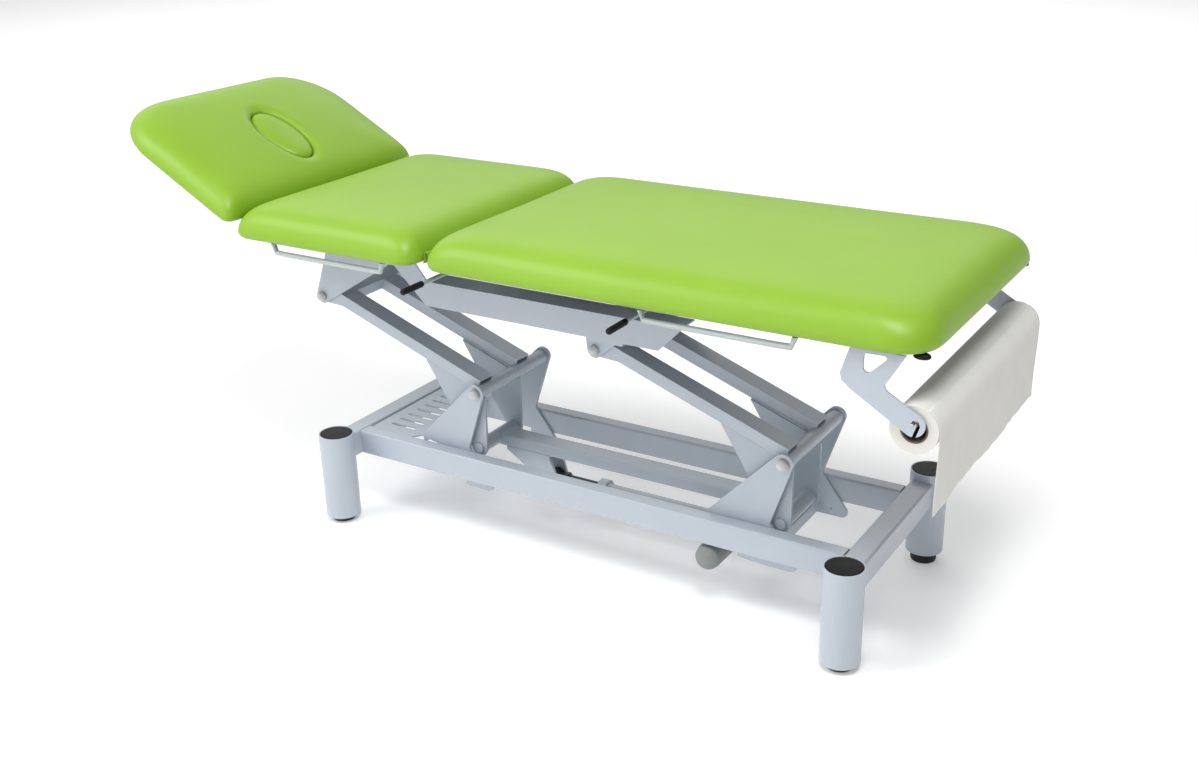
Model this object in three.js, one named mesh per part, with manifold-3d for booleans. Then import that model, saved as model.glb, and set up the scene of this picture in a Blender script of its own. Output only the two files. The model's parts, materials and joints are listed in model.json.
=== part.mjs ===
import * as THREE from 'three';
import { mergeVertices } from 'three/addons/utils/BufferGeometryUtils.js';
import Module from 'manifold-3d';

// Examination couch: H base on four tubular feet, two parallel lifting arms
// driven by a pedal-pumped hydraulic cylinder, and a three-section top.
// Millimetres, +Z up, +X towards the roll end, +Y away from the pedal side.

// ---- driving dimensions ----
const SHIFT = [169.29, 16, 0];            // base centre to row origin
const LEG_X = 593, LEG_Y = 226, LEG_R = 38, LEG_WALL = 2.5, LEG_TOP = 206;
const FOOT_H = 13, FOOT_R = 26.5;
const RAIL_OUT = 164.5, RAIL_IN = 130.5, RAIL_Z0 = 135.3, RAIL_Z1 = 190.4;
const CROSS_FOOT = [565.9, 612.6], CROSS_HEAD = [-624.5, -577.8];
const BL = [-278.7, 326.3], BR = [427.2, 326.3];   // lower arm pivots (x, z)
const ARM = [-411.7, 150.1];                        // lower to upper pivot
const UL = [BL[0] + ARM[0], BL[1] + ARM[1]], UR = [BR[0] + ARM[0], BR[1] + ARM[1]];
const CRANK = [-7, -131];                           // crank pin from lower pivot
const CYL_Y = -32, CYL_Z = 121, CYL_R = 16;
const PAD_Z0 = 650, PAD_T = 75, PAD_W = 318;
const LEG_H = [-269.5, 668], HEAD_H = [-772, 634], HEAD_TILT = 28.5;
const SPRING_R = 9.5;
// gas spring ends (x, z): fixed end on the mid frame, moving end on the hinged section
const LEG_Q = [-249.5, 613], LEG_P = [110.5, 616];
const HEAD_Q = [-757, 604], HEAD_P = [-935.91, 709.34], HEAD_SY = 84;
const ROLL = [722, 524], ROLL_R = 41.5, ROLL_L = 291;
const GAP = 0.3;

const wasm = await Module();
wasm.setup();

// ---- solid helpers ----
function toM(geo) {
  let g = geo.clone();
  for (const k of Object.keys(g.attributes)) if (k !== 'position') g.deleteAttribute(k);
  g = mergeVertices(g, 1e-4);
  const m = new wasm.Manifold(new wasm.Mesh({
    numProp: 3, vertProperties: new Float32Array(g.attributes.position.array),
    triVerts: new Uint32Array(g.index.array) }));
  return m;
}
function toG(m) {
  const mesh = m.getMesh();
  const g = new THREE.BufferGeometry();
  const n = mesh.numProp, v = mesh.vertProperties, c = v.length / n;
  const p = new Float32Array(c * 3);
  for (let i = 0; i < c; i++) for (let k = 0; k < 3; k++) p[i * 3 + k] = v[i * n + k];
  g.setAttribute('position', new THREE.BufferAttribute(p, 3));
  g.setIndex(new THREE.BufferAttribute(new Uint32Array(mesh.triVerts), 1));
  return g;
}
const U = (...a) => a.slice(1).reduce((s, m) => s.add(m), a[0]);
const D = (a, ...b) => b.reduce((s, m) => s.subtract(m), a);
function shape(pts, holes = []) {
  const s = new THREE.Shape(pts.map(p => new THREE.Vector2(p[0], p[1])));
  for (const h of holes) s.holes.push(new THREE.Path(h.map(p => new THREE.Vector2(p[0], p[1]))));
  return s;
}
const ext = (s, d) => new THREE.ExtrudeGeometry(s, { depth: d, bevelEnabled: false, steps: 1, curveSegments: 8 });
// profile in (x, z), from y0 to y1
const plY = (pts, y0, y1, holes) => toM(ext(shape(pts, holes), y1 - y0).rotateX(Math.PI / 2).translate(0, y1, 0));
// profile in (y, z), from x0 to x1
const plX = (pts, x0, x1, holes) => toM(ext(shape(pts, holes), x1 - x0).rotateX(Math.PI / 2).rotateZ(Math.PI / 2).translate(x0, 0, 0));
// profile in (x, y), from z0 to z1
const plZ = (pts, z0, z1, holes) => toM(ext(shape(pts, holes), z1 - z0).translate(0, 0, z0));
const rect = (a0, a1, b0, b1) => [[a0, b0], [a1, b0], [a1, b1], [a0, b1]];
const box = (x0, x1, y0, y1, z0, z1) => plZ(rect(x0, x1, y0, y1), z0, z1);
function circ(cx, cy, r, n = 32, ph = 0) {
  return [...Array(n).keys()].map(i => { const a = ph + i * 2 * Math.PI / n; return [cx + r * Math.cos(a), cy + r * Math.sin(a)]; });
}
function arc(cx, cy, r, a0, a1, n = 8) {
  return [...Array(n + 1).keys()].map(i => { const a = (a0 + (a1 - a0) * i / n) * Math.PI / 180; return [cx + r * Math.cos(a), cy + r * Math.sin(a)]; });
}
function rrect(a0, a1, b0, b1, r, n = 3) {
  return [...arc(a1 - r, b1 - r, r, 0, 90, n), ...arc(a0 + r, b1 - r, r, 90, 180, n),
    ...arc(a0 + r, b0 + r, r, 180, 270, n), ...arc(a1 - r, b0 + r, r, 270, 360, n)];
}
const cylY = (x, z, r, y0, y1, n = 32) => plY(circ(x, z, r, n), y0, y1);
const cylX = (y, z, r, x0, x1, n = 32) => plX(circ(y, z, r, n), x0, x1);
const cylZ = (x, y, r, z0, z1, n = 32) => plZ(circ(x, y, r, n), z0, z1);
const ringY = (x, z, r, ri, y0, y1, n = 32) => D(cylY(x, z, r, y0, y1, n), cylY(x, z, ri, y0 - 1, y1 + 1, n));
// convex hull outline of points
function hull(pts) {
  const p = [...pts].sort((a, b) => a[0] - b[0] || a[1] - b[1]);
  const cr = (o, a, b) => (a[0] - o[0]) * (b[1] - o[1]) - (a[1] - o[1]) * (b[0] - o[0]);
  const half = q => { const h = []; for (const t of q) { while (h.length > 1 && cr(h[h.length - 2], h[h.length - 1], t) <= 1e-9) h.pop(); h.push(t); } h.pop(); return h; };
  return [...half(p), ...half(p.reverse())];
}
const capsule = (x0, z0, x1, z1, r, n = 20) => hull([...circ(x0, z0, r, n), ...circ(x1, z1, r, n)]);
// solid of revolution about +Z, profile [r, z]
function lathe(prof, n = 40) {
  return toM(new THREE.LatheGeometry(prof.map(p => new THREE.Vector2(p[0], p[1])), n).rotateX(Math.PI / 2));
}
// stack of same-count rings, closed with fans
function stack(rings, c0, c1) {
  const n = rings[0].length, P = [], I = [];
  rings.forEach(r => r.forEach(p => P.push(...p)));
  const b = P.length / 3; P.push(...c0); P.push(...c1);
  for (let k = 0; k + 1 < rings.length; k++) for (let i = 0; i < n; i++) {
    const j = (i + 1) % n, a = k * n + i, c = k * n + j, d = (k + 1) * n + i, e = (k + 1) * n + j;
    I.push(a, c, e, a, e, d);
  }
  for (let i = 0; i < n; i++) { const j = (i + 1) % n, t = (rings.length - 1) * n;
    I.push(b, j, i); I.push(b + 1, t + i, t + j); }
  const g = new THREE.BufferGeometry();
  g.setAttribute('position', new THREE.Float32BufferAttribute(P, 3)); g.setIndex(I);
  return g;
}
// cushion: outline(inset) -> ring points; low upright side, then a long rounded shoulder to a crowned top
function cushion(outline, z0, t, cx, cy) {
  const lv = [[0, 5], [2.5, 1.2], [8, 0], [24, 2.5], [42, 10], [56, 24], [65.5, 46], [71, 76], [73.8, 116]];
  const rings = lv.map(([h, d]) => outline(d).map(p => [p[0], p[1], z0 + (h > 8 ? 8 + (h - 8) * (t - 8) / 67 : h)]));
  return stack(rings, [cx, cy, z0], [cx, cy, z0 + t]);
}
// rounded rectangle with separate corner radii at the low-x and high-x ends
function padOutline(x0, x1, w, ra, rb, n = 5) {
  return d => {
    const X0 = x0 + d, X1 = x1 - d, W = w - d, f = Math.min(1, 0.96 * (X1 - X0) / (ra + rb + d * 0.4));
    const A = (ra + d * 0.2) * f, B = (rb + d * 0.2) * f;
    return [...arc(X1 - B, W - B, B, 0, 90, n), ...arc(X0 + A, W - A, A, 90, 180, n),
      ...arc(X0 + A, -W + A, A, 180, 270, n), ...arc(X1 - B, -W + B, B, 270, 360, n)];
  };
}
// round bar bent along a path
function barPath(pts, r, bend, n = 10) {
  const cp = new THREE.CurvePath(), V = pts.map(p => new THREE.Vector3(...p));
  let a = V[0];
  for (let i = 1; i < V.length; i++) {
    if (i === V.length - 1) { cp.add(new THREE.LineCurve3(a, V[i])); break; }
    const u = V[i].clone().sub(V[i - 1]).normalize(), w = V[i + 1].clone().sub(V[i]).normalize();
    const p = V[i].clone().addScaledVector(u, -bend), q = V[i].clone().addScaledVector(w, bend);
    cp.add(new THREE.LineCurve3(a, p)); cp.add(new THREE.QuadraticBezierCurve3(p, V[i], q)); a = q;
  }
  const s = new THREE.Shape(); s.absarc(0, 0, r, 0, Math.PI * 2);
  const steps = cp.curves.length * 3;
  return toM(new THREE.ExtrudeGeometry(s, { steps, extrudePath: cp, curveSegments: n / 2 }));
}
function mirrorY(geo) {
  const g = geo.clone(), p = g.attributes.position, i = g.index.array;
  for (let k = 0; k < p.count; k++) p.setY(k, -p.getY(k));
  for (let k = 0; k < i.length; k += 3) { const t = i[k + 1]; i[k + 1] = i[k + 2]; i[k + 2] = t; }
  return g;
}
// rotate a manifold about a Y axis line through (x, z)
function rotY(m, x, z, deg) {
  const g = (m instanceof THREE.BufferGeometry ? m.clone() : toG(m));
  g.translate(-x, 0, -z).rotateY(deg * Math.PI / 180).translate(x, 0, z);
  return g;
}

// ---- materials ----
const steel = [0.72, 0.76, 0.78], vinyl = [0.42, 0.66, 0.08];
const LOOK = {
  powder: [steel, 0.45, 0.1], black: [[0.02, 0.02, 0.022], 0.5, 0], rubber: [[0.03, 0.03, 0.03], 0.8, 0],
  zinc: [[0.7, 0.7, 0.68], 0.35, 0.9], chrome: [[0.8, 0.8, 0.82], 0.15, 1], vinyl: [vinyl, 0.5, 0],
  grey: [[0.27, 0.29, 0.28], 0.8, 0], paper: [[0.8, 0.8, 0.78], 0.9, 0], card: [[0.33, 0.27, 0.2], 0.9, 0],
  hyd: [[0.55, 0.57, 0.58], 0.4, 0.4], darkrod: [[0.1, 0.1, 0.11], 0.3, 0.7],
};
const group = new THREE.Group();
group.name = 'examination_couch';
function put(name, m, look) {
  const g = m instanceof THREE.BufferGeometry ? m : toG(m);
  const flat = g.index ? g.toNonIndexed() : g;
  for (const k of Object.keys(flat.attributes)) if (k !== 'position') flat.deleteAttribute(k);
  flat.translate(...SHIFT); flat.computeVertexNormals();
  const [c, r, mt] = LOOK[look];
  const mat = new THREE.MeshStandardMaterial({ color: new THREE.Color(...c), roughness: r, metalness: mt });
  const mesh = new THREE.Mesh(flat, mat); mesh.name = name; group.add(mesh);
}
const both = (stem, m, look) => { const g = m instanceof THREE.BufferGeometry ? m : toG(m); put(stem + '_near', g, look); put(stem + '_far', mirrorY(g), look); };

// ================= base =================
function tubeX(y0, y1, z0, z1, x0, x1, r, w) {
  return D(plX(rrect(y0, y1, z0, z1, r), x0, x1), plX(rrect(y0 + w, y1 - w, z0 + w, z1 - w, Math.max(r - w, 1)), x0 - 1, x1 + 1));
}
function tubeY(x0, x1, z0, z1, y0, y1, r, w) {
  return D(plY(rrect(x0, x1, z0, z1, r), y0, y1), plY(rrect(x0 + w, x1 - w, z0 + w, z1 - w, Math.max(r - w, 1)), y0 - 1, y1 + 1));
}
both('base_rail', tubeX(-RAIL_OUT, -RAIL_IN, RAIL_Z0, RAIL_Z1, CROSS_HEAD[1] + GAP, CROSS_FOOT[0] - GAP, 5, 3), 'powder');
for (const [nm, xs, lx] of [['head', CROSS_HEAD, -LEG_X], ['foot', CROSS_FOOT, LEG_X]]) {
  let m = tubeY(xs[0], xs[1], RAIL_Z0, RAIL_Z1, -LEG_Y, LEG_Y, 6, 3);
  for (const s of [-1, 1]) m = D(m, cylZ(lx, s * LEG_Y, LEG_R + 0.4, 100, 230, 40));
  put('base_cross_tube_' + nm, m, 'powder');
}
for (const [en, lx] of [['head', -LEG_X], ['foot', LEG_X]]) for (const [sn, s] of [['near', -1], ['far', 1]]) {
  const fh = en === 'foot' && sn === 'far' ? 25 : FOOT_H;   // this foot is screwed further out
  const z0 = fh, ly = s * LEG_Y;
  put(`leg_tube_${en}_${sn}`, D(U(D(cylZ(lx, ly, LEG_R, z0, LEG_TOP, 40), cylZ(lx, ly, LEG_R - LEG_WALL, z0 - 1, LEG_TOP + 1, 40)),
    cylZ(lx, ly, LEG_R - 1, z0 + 2, z0 + 8, 40)), cylZ(lx, ly, 6.5, 0, 60, 24)), 'powder');
  put(`leg_cap_${en}_${sn}`, toG(lathe([[0, 0], [33, 0], [33, -14], [35.1, -14], [35, 3], [32, 4.4], [0, 5.2]].map(p => [p[0], p[1] + LEG_TOP - 4]), 32)).translate(lx, ly, 0), 'black');
  put(`foot_${en}_${sn}`, toG(lathe([[0, 0], [FOOT_R - 4, 0], [FOOT_R - 1, 1], [FOOT_R, 4], [FOOT_R, fh - 3], [FOOT_R - 1.5, fh - GAP - 0.6], [6.2, fh - GAP - 0.6], [6.2, 78], [0, 78]], 24)).translate(lx, ly, 0), 'rubber');
}
// stand plates: round head, one raking edge, lobe running down the rail's inner face
function standPlate(px, pz, left, kind, y0, y1) {
  const foot = kind === 'foot';
  const pts = [...arc(0, 0, 20, 0, 135, 10), [-154, -130],
    [foot ? -90 : -40, -150], ...(foot ? [[-90, -218]] : [[-38, -216]]), [-30, -222], [22, -222], [29, -220], [33, -214], [32, -205], [-24, -130]];
  let m = plY(pts.map(p => [px + p[0], pz + p[1]]), y0, y1);
  return D(m, cylY(px, pz, 8.3, y0 - 1, y1 + 1), cylY(px - 1, pz - 206, 3, y0 - 1, y1 + 1, 16));
}
both('stand_plate_head', standPlate(BL[0], BL[1], 0, 'head', -130.2, -124.2), 'powder');
{
  const a = standPlate(BR[0], BR[1], 0, 'foot', -130.2, -124.2), b = standPlate(BR[0], BR[1], 0, 'foot', 124.2, 130.2);
  put('stand_foot', D(U(a, b, tubeY(368, 398, 106, 136, -124.3, 124.3, 4, 3)), cylY(383, 121, 5, -140, 140, 20)), 'powder');
}
// cover plate between the rails at the head end, with a row of vent slots
{
  let m = plZ([[-577.3, -130.2], [-470, -130.2], [-448, -108], [-448, 130.2], [-577.3, 130.2]], 183, 186);
  m = U(m, box(-451, -448, -100, 126, 166, 184));
  for (let i = -3; i <= 3; i++) m = D(m, plZ(capsule(-545, i * 30, -485, i * 30, 5, 12), 180, 190));
  put('base_cover_plate', m, 'powder');
}
// through bolts with washers and domed nuts
function bolt(x, z, r, face, wr, nr) {
  const half = face + 0.3;
  let m = cylY(x, z, r, -half - 3, half + 3, 20);
  for (const s of [-1, 1]) {
    m = U(m, cylY(x, z, wr, s > 0 ? half : -half - 2.5, s > 0 ? half + 2.5 : -half, 20),
      cylY(x, z, nr, s > 0 ? half + 2.4 : -half - 9, s > 0 ? half + 9 : -half - 2.4, 6),
      cylY(x, z, nr * 0.62, s > 0 ? half + 8.9 : -half - 12, s > 0 ? half + 12 : -half - 8.9, 16));
  }
  return m;
}
put('pivot_bolt_head', bolt(BL[0], BL[1], 8, 130.2, 12.5, 9), 'zinc');
put('pivot_bolt_foot', bolt(BR[0], BR[1], 8, 130.2, 12.5, 9), 'zinc');

// hydraulic cylinder: open at the rod gland, eye plate on the stand's crossbar
{
  let m = U(cylX(CYL_Y, CYL_Z, CYL_R, -14.2, 350, 36), cylX(CYL_Y, CYL_Z, 23, -33, -14, 36), box(349, 367.7, CYL_Y - 13, CYL_Y + 13, CYL_Z - 13, CYL_Z + 13));
  m = D(m, cylX(CYL_Y, CYL_Z, 13.4, -40, 322, 32));
  put('lift_cylinder', m, 'hyd');
}
// pump block with a clevis for the pedal lever, bolted to the crossbar
{
  let m = U(box(275, 361, 5, 80, 62, 128), box(360, 367.7, 20, 65, 108, 126),
    box(268, 275.5, -14, 30, 78, 100), box(294.5, 302, -14, 8, 78, 100));
  m = U(m, cylZ(330, 45, 12, 127, 150, 24), cylX(-4, 89, 4, 270, 300, 20), cylZ(300, 62, 8, 127, 137, 20));
  put('pump_body', m, 'hyd');
}
put('pump_lever', D(U(box(277, 293, -54, 1, 80, 98), box(277, 293, -62, -52, 80, 110),
  cylY(285, 104, 8, -155, -56, 24)), cylX(-4, 89, 4.3, 260, 310, 20)), 'powder');
put('pedal_sleeve', D(U(cylY(285, 104, 26, -156, -66, 32), cylY(285, 104, 24, -158, -64, 32)), cylY(285, 104, 8.3, -155.3, -60, 24)), 'grey');

// ================= lifting arms =================
const AL = Math.hypot(...ARM), ux = ARM[0] / AL, uz = ARM[1] / AL, nx = uz, nz = -ux;
const fr = (b, a, p) => [b[0] + a * ux + p * nx, b[1] + a * uz + p * nz];
function armFork(b) {
  let m = null;
  for (const [y0, y1] of [[-116, -71], [20, 65]]) {
    let t = plY([fr(b, 4, 0), fr(b, 395, 0), fr(b, 395, 25), fr(b, 4, 25)].reverse(), y0, y1);
    t = D(t, plY([fr(b, -20, 3), fr(b, 384, 3), fr(b, 384, 22), fr(b, -20, 22)].reverse(), y0 + 3, y1 - 3));
    m = m ? U(m, t) : t;
  }
  const u = fr(b, AL, 0);
  const head = hull([...circ(u[0], u[1], 15, 32), fr(b, 388, -1), fr(b, 388, 25.5), fr(b, 425, 25.5)]);
  m = U(m, plY(head, -116, 116));
  return D(m, cylY(b[0], b[1], 15.4, -130, 130, 40), cylY(u[0], u[1], 6.3, -130, 130, 24));
}
put('arm_fork_head', armFork(BL), 'powder');
put('arm_fork_foot', armFork(BR), 'powder');
function crank(b) {
  const c = [b[0] + CRANK[0], b[1] + CRANK[1]];
  const q = fr(b, 146, -GAP), q2 = fr(b, 6, -GAP);
  const pts = [q2, q, ...arc(c[0], c[1], 20, 172, 358, 12), [b[0] + 14, b[1] - 14]];
  let m = D(cylY(b[0], b[1], 15, -123.9, 123.9, 32), cylY(b[0], b[1], 12, -104, 104, 24), cylY(b[0], b[1], 8.4, -130, 130, 24));
  for (const [y0, y1] of [[-116, -110], [14, 20]]) m = U(m, D(plY(pts, y0, y1), cylY(b[0], b[1], 13, y0 - 1, y1 + 1, 32)));
  m = U(m, cylY(c[0], c[1], 8, -118, 22, 24), cylY(c[0], c[1], 11.5, -120, -115.9, 20), cylY(c[0], c[1], 11.5, 19.9, 24, 20));
  return m;
}
put('crank_head', crank(BL), 'powder');
put('crank_foot', crank(BR), 'powder');
// link bar between the crank pins, with the slotted rod lug below
const CL = [BL[0] + CRANK[0], BL[1] + CRANK[1]], CR = [BR[0] + CRANK[0], BR[1] + CRANK[1]];
const PIN_X = -150;
{
  let m = U(plX(rrect(-55, -9, 179.5, 206, 4), CL[0], CR[0]), cylY(CL[0], CL[1], 15.5, -109.6, 13.6, 36), cylY(CR[0], CR[1], 15.5, -109.6, 13.6, 36));
  m = D(m, box(CL[0] + 20, CR[0] - 20, -52, -12, 182.5, 203));
  m = D(m, cylY(CL[0], CL[1], 8.3, -120, 30, 28), cylY(CR[0], CR[1], 8.3, -120, 30, 28));
  const lug = [[-258, 180.5], [-257, 173], [-214, 146], [-176, 112], [-170, 78], [-164, 72], [-136, 72], [-130, 78], [-128, 120], [-136, 149], [-148, 173], [-148, 180.5]].reverse();
  m = U(m, plY(lug, -55, -49), plY(lug, -15, -9), box(-250, -200, -50, -14, 173, 181));
  m = D(m, plY(capsule(PIN_X, 87.5, PIN_X, 119.5, 9.5, 20), -60, 0), box(-240, -210, -45, -19, 160, 184));
  put('link_bar', m, 'powder');
}
put('piston_rod', U(cylX(CYL_Y, CYL_Z, 13.2, -136, 120, 36), D(cylY(PIN_X, CYL_Z, 17, -48.6, -15.4, 32)),
  cylX(CYL_Y, CYL_Z, 18, -121, -113, 6), cylY(PIN_X, CYL_Z, 6, -60, -4, 20), cylY(PIN_X, CYL_Z, 8.5, -60, -55.4, 20), cylY(PIN_X, CYL_Z, 8.5, -8.6, -4, 20)), 'darkrod');

// ================= upper frame =================
// side panel: pressed sheet with inward top flange and a raking post to the head end
{
  let m = plY([[-376, 513], [175, 513], [223, 561], [223, 566], [-369, 566], [-394, 597], [-418, 625], [-493, 625], [-440, 575]], -151.5, -148.5);
  m = U(m, box(-367, 223, -149, -95, 563, 566));
  both('side_panel', m, 'powder');
}
// brackets carrying the upper pivot of the foot arms
function urBracket(s) {
  const p = hull([...arc(UR[0], UR[1], 17, 180, 360, 12), [UR[0] - 20, 506], [UR[0] + 60, 506]]);
  const y = s < 0 ? [-122, -117] : [117, 122];
  return D(plY(p, y[0], y[1]), cylY(UR[0], UR[1], 6.3, -140, 140, 24));
}
{
  let m = U(urBracket(-1), urBracket(1), box(15, 95, -148.2, -117, 505.5, 512.7), box(15, 95, 117, 148.2, 505.5, 512.7), tubeY(40, 75, 512.5, 562, -127.5, 127.5, 3, 3));
  put('frame_crossbar', m, 'powder');
}
// mid frame: box tube rectangle with the plates that carry the head arms and the hinge ears
{
  const z0 = 604, z1 = 644;
  let m = null;
  for (const s of [-1, 1]) {
    const y0 = s < 0 ? -129 : 104, y1 = s < 0 ? -104 : 129;
    const t = plX(rrect(y0, y1, z0, z1, 3), -738, -290);
    m = m ? U(m, t) : t;
    const e = s < 0 ? [-122, -117] : [117, 122];
    m = U(m, plY(hull([...circ(UL[0], UL[1], 17, 20), [-660, 606], [-455, 606], [-505, 570]]), e[0], e[1]));
  }
  m = U(m, box(-736, -706, -105, 105, z0, z1), box(-560, -530, -105, 105, z0, z1), box(-322, -292, -105, 105, z0, z1));
  // flanges under the tubes joining the side panels' posts
  m = U(m, box(-490, -420, -148.2, -128.5, 604, 612), box(-490, -420, 128.5, 148.2, 604, 612));
  for (const s of [-1, 1]) {
    const a = s < 0 ? [-100, -94] : [94, 100];
    m = U(m, plY([[-300, 606], [-262, 606], [-261.5, LEG_H[1]], ...arc(LEG_H[0], LEG_H[1], 8, 0, 180, 8), [-277.5, 646], [-300, 643]], a[0], a[1]));
    m = U(m, plY(hull([...circ(HEAD_H[0], HEAD_H[1], 9, 20), [-730, 606], [-730, 643], ...(s > 0 ? circ(HEAD_Q[0], HEAD_Q[1], 9, 20) : [])]), a[0], a[1]));
    m = D(m, cylY(LEG_H[0], LEG_H[1], 5.3, a[0] - 1, a[1] + 1, 20), cylY(HEAD_H[0], HEAD_H[1], 5.3, a[0] - 1, a[1] + 1, 20));
    // cheeks for the long section's gas spring
    m = U(m, plY(hull([...circ(LEG_Q[0], LEG_Q[1], 8.5, 16), [-295, 606], [-295, 622]]), s < 0 ? -11 : 7, s < 0 ? -7 : 11));
  }
  m = D(m, cylY(LEG_Q[0], LEG_Q[1], 4.3, -20, 20, 16), cylY(HEAD_Q[0], HEAD_Q[1], 4.3, 90, 104, 16));
  m = D(m, cylY(UL[0], UL[1], 6.3, -140, 140, 24));
  // lever bracket
  m = U(m, box(-276, -262, -128, -116, 604, 611), box(-300, -262, -128, -122, 604, 611));
  put('mid_frame', m, 'powder');
}
put('upper_bolt_head', bolt(UL[0], UL[1], 6, 122, 11, 8), 'zinc');
put('upper_bolt_foot', bolt(UR[0], UR[1], 6, 122, 11, 8), 'zinc');
const wire = (x0, x1) => barPath([[x0, -300, 649.4], [x0, -300, 630], [x1, -300, 630], [x1, -300, 649.4]], 5.5, 13);
both('wire_loop_mid', wire(-642, -355), 'zinc');
put('mid_pad', cushion(padOutline(-755, -278, PAD_W, 40, 34), PAD_Z0, PAD_T, -516.5, 0), 'vinyl');

// ================= long section =================
{
  let m = null;
  for (const s of [-1, 1]) {
    const y0 = s < 0 ? -129 : 104, y1 = s < 0 ? -104 : 129;
    const t = plX(rrect(y0, y1, 586, 618, 3), -240, 640);
    m = m ? U(m, t) : t;
    const a = s < 0 ? [-106.3, -100.3] : [100.3, 106.3];
    m = U(m, plY([[-277.5, 600], [-225, 600], [-225, 646], [-261.5, 646], [-261.5, LEG_H[1]], ...arc(LEG_H[0], LEG_H[1], 8, 0, 180, 8)], a[0], a[1]),
      cylY(LEG_H[0], LEG_H[1], 5, s < 0 ? -101 : 93, s < 0 ? -93 : 101, 20));
  }
  for (const x of [180, 600]) m = U(m, box(x - 15, x + 15, -128, 128, 590, 616));
  m = U(m, box(-215, -185, -128, 128, 641, 649.4));
  // cheeks beside the gas spring's moving end
  for (const y of [-15, 11]) m = U(m, plY(hull([...circ(LEG_P[0], LEG_P[1], 8, 16), [170, 592], [170, 614]]), y, y + 4));
  for (const x of [-200, 180, 540]) for (const s of [-1, 1]) m = U(m, box(x - 25, x + 25, s < 0 ? -128 : 106, s < 0 ? -106 : 128, 616, 649.6));
  m = U(m, box(180, 194, -140, -127, 604, 611));
  put('leg_frame', m, 'powder');
}
put('leg_pad', cushion(padOutline(-261, 748, PAD_W, 50, 74), PAD_Z0, PAD_T, 243.5, 0), 'vinyl');
both('wire_loop_leg', wire(222, 516), 'zinc');
// roll holder arms with hooked slots for the rod's end pins
{
  const P = [[607, 640], [595, 602], [598, 590], [612, 578], ...arc(722.5, 534.5, 20, 239, 419, 14), [678, 583], [672.5, 587.6], [671.2, 593.5], [704, 649.6], [610, 649.6]];
  let m = plY(P, -299, -295);
  m = D(m, plY(hull([...circ(641.5, 618, 8, 16), ...circ(639, 638, 5, 12), ...circ(668, 639, 4.5, 12)]), -310, -290));
  const J = [[721, 536], [723.6, 540.4], [729, 540.2], [731, 534], [728.4, 526], [723, 510]];
  for (let i = 0; i < 5; i++) m = D(m, plY(hull([...circ(J[i][0], J[i][1], 3, 12), ...circ(J[i + 1][0], J[i + 1][1], 3, 12)]), -310, -290));
  both('roll_holder', m, 'powder');
}
put('roll_rod', U(cylY(721, 536, 8, -292.6, 292.6, 24), cylY(721, 536, 2.6, -300.6, 300.6, 12)), 'zinc');
put('roll_core', ringY(ROLL[0], ROLL[1], 23.5, 20.6, -ROLL_L, ROLL_L, 48), 'card');
put('paper_roll', D(cylY(ROLL[0], 524, ROLL_R, -ROLL_L, ROLL_L, 48), cylY(ROLL[0], 524, 23.8, -ROLL_L - 1, ROLL_L + 1, 48)), 'paper');
put('paper_tail', box(764.4, 765.6, -ROLL_L, ROLL_L, 376, 526), 'paper');

// ================= headrest =================
{
  // modelled level, hinge at the right end, then tilted
  const hx = HEAD_H[0], hz = HEAD_H[1];
  let m = null;
  for (const s of [-1, 1]) {
    const y0 = s < 0 ? -129 : 108, y1 = s < 0 ? -108 : 129;
    const t = plX(rrect(y0, y1, hz - 8, hz + 17, 3), hx - 330, hx - 28);
    m = m ? U(m, t) : t;
    const a = s < 0 ? [-108.3, -100.3] : [100.3, 108.3];
    m = U(m, plY(hull([...circ(hx, hz, 9, 20), [hx - 36, hz - 8], [hx - 36, hz + 16]]), a[0], a[1]),
      cylY(hx, hz, 5, s < 0 ? -101 : 93.5, s < 0 ? -93.5 : 101, 20));
  }
  for (const x of [-50, -315]) m = U(m, box(hx + x - 12, hx + x + 12, -127, 127, hz + 2, hz + 15));
  // plate beside the gas spring's moving end
  m = U(m, box(hx - 196, hx - 164, HEAD_SY + 8.5, 109, hz - 20, hz + 10));
  for (const x of [-80, -290]) for (const s of [-1, 1]) m = U(m, box(hx + x - 20, hx + x + 20, s < 0 ? -128 : 109, s < 0 ? -109 : 128, hz + 15, hz + 33.6));
  put('head_frame', rotY(m, hx, hz, HEAD_TILT), 'powder');
  const out = d => {   // far end bowed outwards
    const o = padOutline(hx - 395, hx - 16, 310, 130, 16, 5)(d);
    return o.map(p => [p[0] < hx - 200 ? p[0] - 6 * (1 - (p[1] / 310) ** 2) : p[0], p[1]]);
  };
  const pz = hz + 34;
  const pad = toM(cushion(out, pz, 64, hx - 205, 0));
  const ov = k => { const L = 88, W = 52; return [...Array(40).keys()].map(i => { const a = i * Math.PI / 20; return [hx - 173 + (L - k) * Math.cos(a), (W - k) * Math.sin(a)]; }); };
  const hole = plZ(ov(0), pz - 5, pz + 90);
  put('head_pad', rotY(D(pad, hole), hx, hz, HEAD_TILT), 'vinyl');
  const rings = [[pz + 2, 3], [pz + 5, 0.6], [pz + 45, 0.6], [pz + 53, 3], [pz + 58, 9], [pz + 60.5, 20]].map(([z, k]) => ov(k + 0.5).map(p => [p[0], p[1], z]));
  put('head_plug', rotY(stack(rings, [hx - 173, 0, pz + 2], [hx - 173, 0, pz + 62]), hx, hz, HEAD_TILT), 'vinyl');
}
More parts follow.
